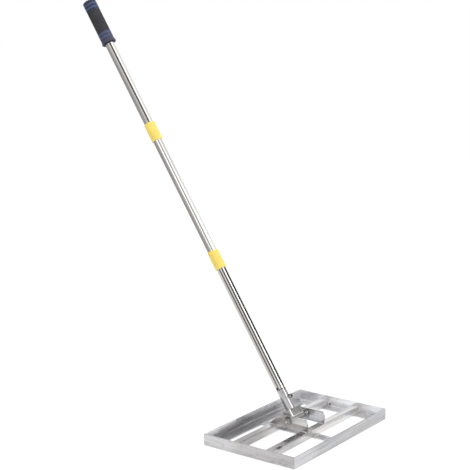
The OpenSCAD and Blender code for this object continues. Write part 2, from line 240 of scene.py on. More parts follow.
# plated small parts; a core is a dark middle round an axis, given by the axis's centre and turn, the two
# letters across it and the core's radius in millimetres
def platedSteel(name, tone, rough, core=None):
    finish = Finish(name, Metallic=1.0)
    fine = finish.noise(finish.coords(), 0.0016, 3, 0.6)
    broad = finish.noise(finish.coords(), 0.006, 2, 0.5)
    colour = finish.mix(finish.band(broad, 0.4, 0.65) * 0.6,
                        (tone, tone * 0.99, tone * 0.96), (tone * 0.8, tone * 0.8, tone * 0.82))
    if core:
        centre, turn, letters, radius = core
        rim = 0.15
        first, second = [finish.axis(finish.coords(centre, turn), letter) for letter in letters]
        reach = (first * first + second * second) ** 0.5
        outside = finish.band(reach, (radius - rim) / 1000, (radius + rim) / 1000)
        colour = finish.mix(outside, (0.02, 0.02, 0.022), colour)
    finish.set(Base_Color=colour)
    finish.set(Roughness=finish.band(fine, 0.3, 0.7) * 0.12 + rough)
    finish.set(Normal=finish.bump(fine, 0.00004, 0.4))
    return finish.material


# welds: ripples come from the mesh, the straw and blue tint from noise
def weldSteel(name):
    finish = Finish(name, Metallic=0.9)
    tint = finish.noise(finish.coords(), 0.005, 2, 0.5)
    colour = finish.mix(finish.band(tint, 0.35, 0.5), (0.70, 0.68, 0.65), (0.95, 0.95, 0.95))
    colour = finish.mix(finish.band(tint, 0.58, 0.68) * 0.5, colour, (0.44, 0.46, 0.54))
    finish.set(Base_Color=colour)
    grain = finish.noise(finish.coords(), 0.0009, 3, 0.6)
    finish.set(Roughness=grain * 0.2 + 0.33)
    finish.set(Normal=finish.bump(grain, 0.0001, 0.5))
    return finish.material


def mouldedPlastic(name, colour, rough, grain):
    finish = Finish(name, Specular_IOR_Level=0.4)
    clouds = finish.noise(finish.coords(), 0.03, 2, 0.5)
    speckle = finish.noise(finish.coords(), grain, 2, 0.55)
    darker = tuple(c * 0.9 for c in colour)
    finish.set(Base_Color=finish.mix(finish.band(clouds, 0.4, 0.66) * 0.6, colour, darker))
    finish.set(Roughness=finish.band(speckle, 0.3, 0.7) * 0.12 + rough)
    finish.set(Normal=finish.bump(speckle, 0.00002, 0.4))
    return finish.material


# closed-cell foam: fine pores and a soft worn sheen
def gripFoam(name):
    finish = Finish(name, Specular_IOR_Level=0.25)
    where = finish.coords()
    pores = finish.node("TexVoronoi", {"feature": "F1"}, {"Vector": where, "Scale": 1400.0})
    fine = finish.noise(where, 0.0011, 3, 0.6)
    broad = finish.noise(where, 0.02, 2, 0.5)
    finish.set(Base_Color=finish.mix(finish.band(broad, 0.4, 0.65) * 0.5,
                                     (0.034, 0.034, 0.036), (0.05, 0.05, 0.053)))
    finish.set(Roughness=finish.band(fine, 0.3, 0.7) * 0.15 + 0.72)
    finish.set(Normal=finish.bump(pores * 0.6 + fine * 0.4, 0.00025, 0.7))
    return finish.material


# the tones of the plates, mostly painted reflections and shade: the same brushed steel is made lighter or
# darker from plate to plate and in zones. A zone is a tone, the softness of its rim and its limits along the
# axes, in millimetres. A dark reflection is a zone that noise breaks up into patches
# painted reflection: the front rail darker than the rear and far rails, lighter towards its near end
plateFront = brushedPlate(
    "front_rail_brushed", "X", (0.49, 0.485, 0.495),
    [((0.60, 0.595, 0.61), 30, ("X", -280, -120))], contrast=0.7, shift=0.11)
# painted reflections and shade: the inner wall light at the far end and darker towards the near end, the
# flange darker than the wall and darkest towards the near end, lighter patches high on the wall at the near
# end, and a painted highlight along the bend at the wall's foot; the outer face keeps a plain tone
plateRear = brushedPlate(
    "rear_rail_brushed", "X", (0.985, 0.985, 0.99),
    [((0.57, 0.565, 0.585), 22, ("X", -280, 112), ("Y", 90, 170)),
     ((0.66, 0.655, 0.67), 1, ("X", -280, 280), ("Y", 90, 131)),
     ((0.45, 0.445, 0.46), 14, ("X", -280, 112), ("Y", 60, 144), ("Z", -60, 3.2)),
     ((0.88, 0.87, 0.88), 5, ("X", -280, -158), ("Y", 131, 140), ("Z", 15, 40)),
     ((0.76, 0.75, 0.76), 3, ("X", -170, -85), ("Y", 131, 140), ("Z", 24.5, 40)),
     ((0.66, 0.65, 0.66), 0.4, ("Y", 129.4, 134), ("Z", 2.9, 5.4)),
     ((0.60, 0.60, 0.61), 0.6, ("Y", 134.6, 150))],
    contrast=1.1, shift=0.37)
# painted reflection: darker over the front and middle of the near rail, lighter towards its rear end
plateNear = brushedPlate(
    "near_rail_brushed", "Y", (0.59, 0.585, 0.595),
    [((0.49, 0.475, 0.475), 22, ("Y", -170, 48))], contrast=0.7, shift=0.53)
# painted reflection: the inner face and flange much lighter than the outer face, a little darker towards the
# rear corner; a small black spot sits low on the inner face
plateFar = brushedPlate(
    "far_rail_brushed", "Y", (0.91, 0.91, 0.93),
    [((0.56, 0.56, 0.57), 0.6, ("X", 214.6, 230)),
     ((0.82, 0.82, 0.83), 20, ("X", 190, 214.6), ("Y", 80, 170)),
     ((0.05, 0.05, 0.05), 0.9, ("X", 211.5, 214), ("Y", 32.5, 37.5), ("Z", 5.5, 9.5))],
    contrast=0.6, shift=0.71)
plateStrap = brushedPlate("strap_brushed", "Y", (0.64, 0.64, 0.66), contrast=0.8, shift=0.83)
# painted reflection: both crossbars darker towards the near end
frontBar = brushedPlate(
    "front_bar_brushed", "X", (0.76, 0.75, 0.75),
    [((0.52, 0.51, 0.515), 50, ("X", -280, -70))], contrast=0.7, shift=0.19,
    # patches of painted dark reflection on the front bar's near end
    darkReflections=[((0.12, 0.12, 0.12), 2.5, ("X", -177, -156), ("Y", -64, -53), ("Z", 18, 26)),
            ((0.20, 0.195, 0.19), 3, ("X", -131, -62), ("Y", -57, -41), ("Z", 20, 26))])
rearBar = brushedPlate(
    "rear_bar_brushed", "X", (0.71, 0.70, 0.70),
    [((0.40, 0.385, 0.385), 50, ("X", -280, -70))], contrast=0.7, shift=0.29)
# painted reflection: a dark band across the near ear's lower part, less dark towards its rear
nearEar = brushedPlate(
    "near_ear_brushed", "Y", (0.80, 0.785, 0.775),
    [((0.44, 0.42, 0.415), 0.8, ("Z", 20, 38)), ((0.63, 0.61, 0.60), 5, ("Y", 14, 42), ("Z", 20, 41))],
    contrast=0.8, shift=0.43)
farEar = brushedPlate(
    "far_ear_brushed", "Y", (0.72, 0.72, 0.75),
    # painted light: the far ear lighter along its top
    [((0.82, 0.81, 0.83), 4, ("Z", 48, 70)),
     # painted shadow of the spring on the far ear's inner face round the pivot
     ((0.34, 0.34, 0.33), 2.5, ("X", 30, 38.5), ("Y", -13, 13), ("Z", 29, 53))],
    contrast=0.7, shift=0.61)
plateClevis = brushedPlate(
    "clevis_brushed", "X", (0.36, 0.36, 0.355),
    # painted light: the near leg's face lighter than the web
    [((0.62, 0.61, 0.60), 0.6, ("X", -26, -22.4), ("Y", -12.5, 20)),
     # painted highlight along the near leg's front bend
     ((0.95, 0.95, 0.94), 0.4, ("X", -26, -22.6), ("Y", -17, -12.5)),
     # painted highlight along the web's bottom edge
     ((0.80, 0.80, 0.78), 0.3, ("Z", 3, 5.2), ("Y", -17, -12)),
     # painted reflection: the legs below the web a little lighter
     ((0.40, 0.40, 0.385), 1.0, ("Z", -14, 3.0), ("Y", -17, 20))],
    rough=(0.30, 0.44), contrast=1.4, shift=0.91, leaning=True)
tubeSteel = drawnTube("tube_drawn", 0.86, 0.10)
neckSteel = drawnTube("neck_drawn", 0.56, 0.15, (0.99, 0.99, 1.01))
springSteel = platedSteel("spring_plated", 0.66, 0.12)
thrustSteel = platedSteel("thrust_plated", 0.22, 0.34)
# the pivot washers' dark tone is painted shade
washerSteel = platedSteel("washer_plated", 0.32, 0.28)
screwBlack = platedSteel("screw_blackened", 0.085, 0.30)
neckBoltAxis = tuple(onHandle @ Vector((0, 0, handle["neckBoltHeight"])) / 1000)
# the neck bolt's dark core is painted shade inside its socket
neckBoltSteel = platedSteel("neck_bolt_plated", 0.56, 0.24, (neckBoltAxis, -handle["leanDegrees"], "XZ", 2.9))
nutSteel = platedSteel("nut_plated", 0.72, 0.20, ((0, 0, handle["pivotHeight"] / 1000), 0, "YZ", 5.7))
boltSteel = platedSteel("bolt_plated", 0.95, 0.2)
insertSteel = platedSteel("insert_turned", 0.55, 0.3)
weldMetal = weldSteel("weld_bead")
collarYellow = mouldedPlastic("collar_yellow", (0.89, 0.675, 0.14), 0.38, 0.0016)
plugBlack = mouldedPlastic("plug_black", (0.03, 0.03, 0.03), 0.5, 0.001)
cuffNavy = mouldedPlastic("cuff_navy", (0.022, 0.026, 0.056), 0.5, 0.0012)
cuffNavyLow = mouldedPlastic("cuff_navy_low", (0.048, 0.050, 0.082), 0.5, 0.0012)
ringBlue = mouldedPlastic("ring_blue", (0.055, 0.095, 0.21), 0.45, 0.0012)
gripBlack = gripFoam("grip_foam")
print("finishes made")


def evenNormals(piece):
    # large faces keep their own direction, so that small bevels don't bend the reflections beside them
    weigh = piece.modifiers.new("weigh", "WEIGHTED_NORMAL")
    weigh.mode, weigh.keep_sharp, weigh.weight = "FACE_AREA", True, 50
    bpy.context.view_layer.update()
    made = bpy.data.meshes.new_from_object(piece.evaluated_get(bpy.context.evaluated_depsgraph_get()))
    old, made.name = piece.data, piece.name
    piece.modifiers.clear()
    piece.data = made
    bpy.data.meshes.remove(old)


def finishPiece(name, bm, body, material, nodes=(), place=upright, sharp=32):
    bmesh.ops.remove_doubles(bm, verts=bm.verts, dist=0.0005)
    bmesh.ops.recalc_face_normals(bm, faces=bm.faces)
    bmesh.ops.transform(bm, matrix=Matrix.Scale(0.001, 4) @ place, verts=bm.verts)
    bm.normal_update()
    for face in bm.faces:
        face.smooth = True
    for edge in bm.edges:
        edge.smooth = edge.is_manifold and edge.calc_face_angle(0) < math.radians(sharp)
    mesh = bpy.data.meshes.new(name)
    bm.to_mesh(mesh)
    bm.free()
    mesh.materials.append(material)
    piece = bpy.data.objects.new(name, mesh)
    scene.collection.objects.link(piece)
    evenNormals(piece)
    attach(piece, body)
    if nodes:
        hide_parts(*nodes)
    return piece


def bevelEdges(bm, edges, offset, segments=2):
    bmesh.ops.bevel(bm, geom=list(edges), offset=offset, offset_type="OFFSET", segments=segments,
                    profile=0.5, affect="EDGES", clamp_overlap=True, material=-1)


def sharpEdges(bm, degrees=30):
    return [e for e in bm.edges if e.is_manifold and e.calc_face_angle(0) > math.radians(degrees)]


# how near two places count as one, in millimetres, and the least angle of a square edge, in radians
samePlace = 0.01
squareAngle = 1.2


def longEdges(bm, axis, least):
    # edges that run further than this along one axis
    return [e for e in bm.edges if abs(e.verts[0].co[axis] - e.verts[1].co[axis]) > least]


def edgesAt(bm, **places):
    # edges with both ends at the given coordinates, such as y=3, z=3
    return [e for e in bm.edges if all(
        abs(getattr(v.co, letter) - place) < samePlace for v in e.verts for letter, place in places.items())]


def plateFrom(outline, thickness, plane="XY", base=0):
    # a flat outline pushed out to a thickness; plane names the two axes of the outline
    bm = bmesh.new()
    spots = []
    for a, b in outline:
        spots.append({"XY": (a, b, base), "YZ": (base, a, b), "XZ": (a, base, b)}[plane])
    face = bm.faces.new([bm.verts.new(spot) for spot in spots])
    pushed = bmesh.ops.extrude_face_region(bm, geom=[face])
    way = {"XY": (0, 0, thickness), "YZ": (thickness, 0, 0), "XZ": (0, thickness, 0)}[plane]
    bmesh.ops.translate(bm, vec=way, verts=[v for v in pushed["geom"] if isinstance(v, bmesh.types.BMVert)])
    bmesh.ops.recalc_face_normals(bm, faces=bm.faces)
    return bm


def boxFrom(low, high):
    bm = bmesh.new()
    bmesh.ops.create_cube(bm, size=1)
    size = [h - l for l, h in zip(low, high)]
    middle = [(h + l) / 2 for l, h in zip(low, high)]
    bmesh.ops.scale(bm, vec=size, verts=bm.verts)
    bmesh.ops.translate(bm, vec=middle, verts=bm.verts)
    return bm


def latheFrom(profile, steps=72, closed=True):
    # profile points are (radius, height); the spin runs round Z
    bm = bmesh.new()
    verts = [bm.verts.new((radius, 0, height)) for radius, height in profile]
    edges = [bm.edges.new(pair) for pair in zip(verts, verts[1:])]
    if closed:
        edges.append(bm.edges.new((verts[-1], verts[0])))
    bmesh.ops.spin(bm, geom=verts + edges, cent=(0, 0, 0), axis=(0, 0, 1), angle=math.tau,
                   steps=steps, use_merge=True, use_duplicate=False)
    bmesh.ops.remove_doubles(bm, verts=bm.verts, dist=0.0005)
    bmesh.ops.recalc_face_normals(bm, faces=bm.faces)
    return bm


def roundedTube(low, high, outer, inner, lip=0.4):
    # tube profile with rolled edges at both ends
    return [
        (inner, low), (outer - lip, low), (outer - lip * 0.3, low + lip * 0.3), (outer, low + lip),
        (outer, high - lip), (outer - lip * 0.3, high - lip * 0.3), (outer - lip, high), (inner, high)]


def joinInto(bm, other, matrix=None):
    if matrix is not None:
        bmesh.ops.transform(other, matrix=matrix, verts=other.verts)
    mesh = bpy.data.meshes.new("join")
    other.to_mesh(mesh)
    other.free()
    bm.from_mesh(mesh)
    bpy.data.meshes.remove(mesh)


# a weld bead is a small ring drawn along a line, swelling at each ripple
def weldBead(start, end, radius, pitch=1.6, flat=1.0):
    start, end = Vector(start), Vector(end)
    way = (end - start).normalized()
    length = (end - start).length
    bm = bmesh.new()
    ring = bmesh.ops.create_circle(bm, cap_ends=False, segments=10, radius=1)["verts"]
    turn = way.to_track_quat("Z", "Y").to_matrix().to_4x4()
    edges = list(bm.edges)
    steps = max(6, int(length / pitch * 5))
    sizes = []
    for i in range(steps + 1):
        along = length * i / steps
        ripple = 0.88 + 0.12 * abs(math.sin(math.pi * along / pitch))
        taper = min(1.0, 0.25 + min(along, length - along) / (radius * 1.2))
        sizes.append(radius * ripple * taper)
    bmesh.ops.scale(bm, vec=(sizes[0],) * 3, verts=ring)
    bmesh.ops.edgeloop_fill(bm, edges=edges)
    for i in range(1, steps + 1):
        pushed = bmesh.ops.extrude_edge_only(bm, edges=edges)["geom"]
        ring = [g for g in pushed if isinstance(g, bmesh.types.BMVert)]
        edges = [g for g in pushed if isinstance(g, bmesh.types.BMEdge)
                 and g.verts[0] in ring and g.verts[1] in ring]
        grow = sizes[i] / sizes[i - 1]
        bmesh.ops.scale(bm, vec=(grow, grow, 1), verts=ring)
        bmesh.ops.translate(bm, vec=(0, 0, length / steps), verts=ring)
    bmesh.ops.edgeloop_fill(bm, edges=edges)
    bmesh.ops.transform(bm, matrix=Matrix.Translation(start) @ turn, verts=bm.verts)
    if flat != 1.0:
        middle = (start + end) / 2
        bmesh.ops.translate(bm, vec=-middle, verts=bm.verts)
        bmesh.ops.scale(bm, vec=(1, 1, flat), verts=bm.verts)
        bmesh.ops.translate(bm, vec=middle, verts=bm.verts)
    bmesh.ops.recalc_face_normals(bm, faces=bm.faces)
    return bm


def makeRail(name, node, length, turnDegrees, shift, material):
    depth, plate, height = head["flange"], head["plate"], head["wallHeight"]
    outline = [(0, 0), (depth, 0), (depth, plate), (plate, plate), (plate, height), (0, height)]
    bm = plateFrom(outline, length, "YZ", -length / 2)
    bevelEdges(bm, edgesAt(bm, y=plate, z=plate), head["innerBend"], 4)
    bevelEdges(bm, edgesAt(bm, y=0, z=0), head["outerBend"], 3)
    rims = [e for e in longEdges(bm, 0, length / 2) if e.calc_face_angle(0) > squareAngle]
    bevelEdges(bm, rims, head["edge"], 2)
    for side in (-1, 1):     # mitres at both ends
        cut = bmesh.ops.bisect_plane(
            bm, geom=list(bm.verts) + list(bm.edges) + list(bm.faces), dist=0.0001,
            plane_co=(side * length / 2, 0, 0), plane_no=(side, 1, 0), clear_outer=True)
        bmesh.ops.edgeloop_fill(bm, edges=[g for g in cut["geom_cut"] if isinstance(g, bmesh.types.BMEdge)])
    place = Matrix.Translation(shift) @ Matrix.Rotation(math.radians(turnDegrees), 4, "Z")
    return finishPiece(name, bm, "head", material, [node], place)


halfLength, halfWidth = head["length"] / 2, head["width"] / 2
makeRail("front_rail_plate", "front_rail", head["length"], 0, (0, -halfWidth, 0), plateFront)
makeRail("rear_rail_plate", "rear_rail", head["length"], 180, (0, halfWidth, 0), plateRear)
makeRail("near_side_rail_plate", "near_side_rail", head["width"], -90, (-halfLength, 0, 0), plateNear)
makeRail("far_side_rail_plate", "far_side_rail", head["width"], 90, (halfLength, 0, 0), plateFar)

bars = {"size": 20, "spacing": 98, "corner": 1.8, "bottom": 3}
longSide = 100     # longer than any edge across a bar or strap


def makeBar(name, node, y, material):
    half = bars["size"] / 2
    bm = boxFrom((-halfLength + head["plate"], y - half, bars["bottom"]),
                 (halfLength - head["plate"], y + half, bars["bottom"] + bars["size"]))
    bevelEdges(bm, longEdges(bm, 0, longSide), bars["corner"], 4)
    return finishPiece(name, bm, "head", material, [node], sharp=25)


makeBar("front_crossbar_tube", "front_crossbar", -bars["spacing"] / 2, frontBar)
makeBar("rear_crossbar_tube", "rear_crossbar", bars["spacing"] / 2, rearBar)

strap = {"width": 30, "length": 204, "thick": 3, "edge": 0.5}
halfStrap = (strap["width"] / 2, strap["length"] / 2)
bm = boxFrom((-halfStrap[0], -halfStrap[1], 0), (*halfStrap, strap["thick"]))
bevelEdges(bm, longEdges(bm, 1, longSide), strap["edge"], 2)
finishPiece("centre_strap_plate", bm, "head", plateStrap, ["centre_strap"])

ears = {
    "inner": 37, "thick": 4, "bottom": 23, "top": 55, "half": 58, "corner": 12, "slopeRun": 36,
    "slopeFoot": 3, "bend": 2.5, "edge": 0.4,
}


def makeEar(name, node, x, material):
    low, top, half = ears["bottom"], ears["top"], ears["half"]
    slopeTop = half - ears["slopeRun"]
    outline = [(-half, low), (-half, top), (slopeTop, top), (half, low + ears["slopeFoot"]), (half, low)]
    bm = plateFrom(outline, ears["thick"], "YZ", x)
    bevelEdges(bm, edgesAt(bm, y=-half, z=top), ears["corner"], 12)
    bevelEdges(bm, edgesAt(bm, y=slopeTop, z=top), ears["bend"], 4)
    rims = [e for e in bm.edges if abs(e.verts[0].co.x - e.verts[1].co.x) < samePlace
            and e.calc_face_angle(0) > squareAngle]
    bevelEdges(bm, rims, ears["edge"], 2)
    return finishPiece(name, bm, "head", material, [node])


makeEar("near_ear_plate", "near_ear", -ears["inner"] - ears["thick"], nearEar)
makeEar("far_ear_plate", "far_ear", ears["inner"], farEar)
print("frame and ears made")

# welds at the joins: the beads' radii and how flat two of them lie, how far a bead stops short of an end,
# how deep or proud it starts, and where the tacks between strap and bars lie
welds = {
    "corner": 1.7, "mitre": 1.3, "bar": 1.5, "ear": 1.6, "strap": 1.5, "tack": 1.2,
    "mitreFlat": 0.45, "strapFlat": 0.4, "short": 1, "wallShort": 2, "inset": 0.4, "sunk": 0.1, "proud": 0.2,
    "tackHalf": 8, "tackShift": 3,
}
beads = bmesh.new()


def layBead(start, end, kind, flat=1.0):
    joinInto(beads, weldBead(start, end, welds[kind], flat=flat))


wallX, wallY = halfLength - head["plate"], halfWidth - head["plate"]
barTop, barHalf = bars["bottom"] + bars["size"], bars["size"] / 2
beadLow, beadHigh = head["plate"] + welds["short"], head["wallHeight"] - welds["wallShort"]
onPlate = head["plate"] - welds["sunk"]
mitreRun = head["flange"] - head["plate"] - welds["short"]
for sideX in (-1, 1):
    for sideY in (-1, 1):
        x, y = sideX * wallX, sideY * wallY
        cornerX, cornerY = x - sideX * welds["inset"], y - sideY * welds["inset"]
        layBead((cornerX, cornerY, beadLow), (cornerX, cornerY, beadHigh), "corner")
        mitreEnd = (x - sideX * mitreRun, y - sideY * mitreRun, onPlate)
        layBead((x, y, onPlate), mitreEnd, "mitre", welds["mitreFlat"])
        barY = sideY * bars["spacing"] / 2
        for side in (barY - barHalf, barY + barHalf):
            layBead((x, side, beadLow), (x, side, barTop - welds["short"]), "bar")
        endY = barHalf - welds["bar"]
        layBead((x, barY - endY, barTop), (x, barY + endY, barTop), "bar")
        nearY = bars["spacing"] / 2 - barHalf + welds["short"]
        low, high = sorted((sideY * nearY, sideY * (ears["half"] - welds["short"])))
        for face in (ears["inner"], ears["inner"] + ears["thick"]):
            layBead((sideX * face, low, barTop), (sideX * face, high, barTop), "ear")
for sideY in (-1, 1):
    y, reach = sideY * halfStrap[1], halfStrap[0] - welds["short"]
    layBead((-reach, y, onPlate), (reach, y, onPlate), "strap", welds["strapFlat"])
    for x in (-welds["tackShift"], welds["tackShift"]):
        for fromBar in (-barHalf - welds["sunk"], barHalf + welds["sunk"]):
            edge, z = sideY * (bars["spacing"] / 2 + fromBar), strap["thick"] + welds["proud"]
            layBead((x - welds["tackHalf"], edge, z), (x + welds["tackHalf"], edge, z), "tack")
finishPiece("frame_welds", beads, "head", weldMetal, sharp=60)
print("welds laid")


# points round a hexagon, how much of a corner is turned down, and how wide the turned face is
hexShape = {"points": 48, "cornerCut": 0.6, "face": 0.94}


def hexBody(acrossFlats, height, chamferTop=True, chamferBottom=False, socket=0, socketDepth=0):
    # six flats with turned corners, and a hexagon socket in the top where one is asked for
    bm = bmesh.new()
    flat = acrossFlats / 2
    levels = [("face", 0), ("side", 0), ("side", height), ("face", height)]
    if socket:
        levels += [("socket", height), ("socket", height - socketDepth)]
    loops = []
    for kind, z in levels:
        made = bmesh.ops.create_circle(bm, cap_ends=False, segments=hexShape["points"], radius=1)["verts"]
        for vert in made:
            angle = math.atan2(vert.co.y, vert.co.x)
            around = (angle + math.pi / 6) % (math.pi / 3) - math.pi / 6
            radius, corner = flat / math.cos(around), 0
            if kind == "side":
                corner = (radius - flat) * hexShape["cornerCut"]
            elif kind == "face":
                radius = flat * hexShape["face"]
            else:
                radius = socket / 2 / math.cos(around)
            lift = -corner * chamferTop if z else corner * chamferBottom
            vert.co = (radius * math.cos(angle), radius * math.sin(angle), z + lift)
        members = set(made)
        loops.append([e for e in bm.edges if e.verts[0] in members and e.verts[1] in members])
    for low, high in zip(loops, loops[1:]):
        bmesh.ops.bridge_loops(bm, edges=low + high)
    bmesh.ops.edgeloop_fill(bm, edges=loops[0])
    bmesh.ops.edgeloop_fill(bm, edges=loops[-1])
    bmesh.ops.recalc_face_normals(bm, faces=bm.faces)
    return bm


def threadProfile(radius, low, high, pitch=1.25, depth=0.62):
    points = []
    z = low
    while z + pitch <= high:
        points += [(radius - depth, z), (radius - depth * 0.9, z + pitch * 0.12),
                   (radius, z + pitch * 0.45), (radius, z + pitch * 0.58)]
        z += pitch
    return points


# the nut's collar is given as radius and height above the nut's outer end
bolt = {
    "radius": 4, "headStart": 42.6, "headHeight": 5.3, "flats": 13, "tail": 2, "threadEnd": -34,
    "flange": 5.9, "flangeHeight": 0.45, "nutHeight": 8, "nutStart": -50.6, "collarHeight": 2,
    "nutCollar": ((5.9, 2.1), (5.85, 1.0), (5.5, 0.3), (4.9, 0), (4.35, 0.05), (4.15, 0.5), (4.05, 2.1)),
}
tip, headLow, radius = bolt["nutStart"] - bolt["tail"], bolt["headStart"], bolt["radius"]
profile = [(0, tip), (radius - 1.1, tip), (radius - 0.2, tip + 0.8)]
profile += threadProfile(radius, tip + 0.9, bolt["threadEnd"])
profile += [(radius, bolt["threadEnd"] + 0.6), (radius, headLow + 0.5), (0, headLow + 0.5)]
bm = latheFrom(profile, 48, closed=False)
joinInto(bm, hexBody(bolt["flats"], bolt["headHeight"] - 0.4), Matrix.Translation((0, 0, headLow + 0.4)))
flangeTop = headLow + bolt["flangeHeight"]
flange = [(0, headLow), (bolt["flange"] - 0.2, headLow), (bolt["flange"], flangeTop), (0, flangeTop)]
joinInto(bm, latheFrom(flange, 48, closed=False))
finishPiece("pivot_bolt_turned", bm, "head", boltSteel, ["pivot_bolt"], acrossPivot)

# lock nut: hexagon with a rounded collar that grips the thread
bm = hexBody(bolt["flats"], bolt["nutHeight"] - bolt["collarHeight"], True, True)
bmesh.ops.transform(bm, matrix=Matrix.Rotation(math.pi, 4, "X"), verts=bm.verts)
bmesh.ops.translate(bm, vec=(0, 0, bolt["nutStart"] + bolt["nutHeight"]), verts=bm.verts)
joinInto(bm, latheFrom([(radius, bolt["nutStart"] + rise) for radius, rise in bolt["nutCollar"]], 48))
finishPiece("pivot_nut_turned", bm, "head", nutSteel, ["pivot_nut"], acrossPivot)

washers = {
    "thick": 1.6, "bore": 4.1, "lip": 0.35, "outer": 11, "thrustOuter": 12.5,
    "outerPlaces": (-42.6, 41), "thrustPlaces": (-37, 14.8),
}
for node, size, places, material in (
        ("pivot_washers", "outer", "outerPlaces", washerSteel),
        ("thrust_washers", "thrustOuter", "thrustPlaces", thrustSteel)):
    bm = bmesh.new()
    for start in washers[places]:
        washer = roundedTube(start, start + washers["thick"], washers[size], washers["bore"], washers["lip"])
        joinInto(bm, latheFrom(washer, 56))
    finishPiece(node + "_turned", bm, "head", material, [node], acrossPivot)

# spring: a wire ring spun round the bolt while it moves along it, with straight ends
spring = {
    "start": 16.4, "end": 37, "radius": 10.7, "wire": 1.3, "turns": 2, "stepsPerTurn": 64, "sides": 14,
}
bm = bmesh.new()
coilStart, coilEnd = spring["start"] + 2 * spring["wire"], spring["end"] - 2 * spring["wire"]
steps = spring["turns"] * spring["stepsPerTurn"]
ring = bmesh.ops.create_circle(bm, cap_ends=False, segments=spring["sides"], radius=spring["wire"])["verts"]
bmesh.ops.rotate(bm, cent=(0, 0, 0), matrix=Matrix.Rotation(math.pi / 2, 3, "X"), verts=ring)
bmesh.ops.translate(bm, vec=(-spring["radius"], 0, coilStart), verts=ring)
bmesh.ops.spin(bm, geom=list(bm.verts) + list(bm.edges), cent=(0, 0, 0), axis=(0, 0, 1),
               dvec=(0, 0, (coilEnd - coilStart) / steps), angle=-math.tau * spring["turns"], steps=steps,
               use_merge=False, use_duplicate=False)
# each end of the coil meets a straight leg along the bolt, two wire radii long, in a ball
for z, end in ((coilStart, spring["start"]), (coilEnd, spring["end"])):
    low, high = sorted((z, end))
    leg = [(0, low), (spring["wire"], low), (spring["wire"], high), (0, high)]
    joinInto(bm, latheFrom(leg, spring["sides"], False), Matrix.Translation((-spring["radius"], 0, 0)))
    ball = bmesh.new()
    bmesh.ops.create_uvsphere(ball, u_segments=spring["sides"], v_segments=10, radius=spring["wire"])
    joinInto(bm, ball, Matrix.Translation((-spring["radius"], 0, z)))
finishPiece("pivot_spring_wire", bm, "head", springSteel, ["pivot_spring"], acrossPivot,
            sharp=50)
print("pivot hardware made")


# legs is how far the channel's legs reach before they are cut round, and spare how far the cutter stands out
clevis = {
    "width": 50, "thick": 3, "top": 24, "webBottom": 4, "round": 13, "webY": -handle["tubeRadius"],
    "bend": 3.4, "edge": 0.35, "legs": 20, "spare": 5, "blockHalf": 30, "roundSteps": 24,
}


def solidOf(bm, name):
    mesh = bpy.data.meshes.new(name)
    bm.to_mesh(mesh)
    bm.free()
    thing = bpy.data.objects.new(name, mesh)
    scene.collection.objects.link(thing)
    return thing


def meshAfter(first, second, operation):
    # boolean result as a new bmesh; both helpers are removed
    tool = first.modifiers.new("cut", "BOOLEAN")
    tool.operation, tool.object, tool.solver = operation, second, "EXACT"
    bpy.context.view_layer.update()
    made = first.evaluated_get(bpy.context.evaluated_depsgraph_get())
    mesh = bpy.data.meshes.new_from_object(made)
    bm = bmesh.new()
    bm.from_mesh(mesh)
    for thing in (first, second):
        bpy.data.objects.remove(thing)
    bpy.data.meshes.remove(mesh)
    return bm


half, thick, legs = clevis["width"] / 2, clevis["thick"], clevis["legs"]
web, front = clevis["webY"], clevis["webY"] - thick
outline = [(-half, front), (half, front), (half, legs), (half - thick, legs), (half - thick, web),
           (-half + thick, web), (-half + thick, legs), (-half, legs)]
channel = plateFrom(outline, 2 * clevis["blockHalf"], "XY", -clevis["blockHalf"])
outside = [e for x in (-half, half) for e in edgesAt(channel, x=x, y=front)]
bevelEdges(channel, outside, clevis["bend"], 6)
top, foot = clevis["top"], clevis["round"]
side = [(front, clevis["webBottom"]), (front, top), (foot, top), (foot, 0)]
for i in range(1, clevis["roundSteps"] + 1):
    angle = -math.pi * i / clevis["roundSteps"]
    side.append((foot * math.cos(angle), foot * math.sin(angle)))
profileBlock = plateFrom(side, clevis["width"] + 2 * clevis["spare"], "YZ", -half - clevis["spare"])
bm = meshAfter(solidOf(channel, "channel"), solidOf(profileBlock, "outline"), "INTERSECT")
bmesh.ops.dissolve_limit(bm, angle_limit=math.radians(1), verts=bm.verts, edges=bm.edges)
bevelEdges(bm, sharpEdges(bm, 60), clevis["edge"], 2)
finishPiece("clevis_sheet", bm, "handle", plateClevis, ["clevis"], onHandle)

neck = {"low": 8, "high": 80, "bore": 10.5, "lip": 0.5}
bm = latheFrom(roundedTube(neck["low"], neck["high"], handle["tubeRadius"], neck["bore"], neck["lip"]), 96)
finishPiece("neck_tube_drawn", bm, "handle", neckSteel, ["neck_tube"], onHandle)

neckWeld = {"x": 6.6, "y": -11.6, "low": 8.5, "high": 23.8, "radius": 1.5}
bm = bmesh.new()
for x in (-neckWeld["x"], neckWeld["x"]):
    start, end = (x, neckWeld["y"], neckWeld["low"]), (x, neckWeld["y"], neckWeld["high"])
    joinInto(bm, weldBead(start, end, neckWeld["radius"]))
finishPiece("neck_weld_beads", bm, "handle", weldMetal, ["neck_welds"], onHandle, sharp=60)

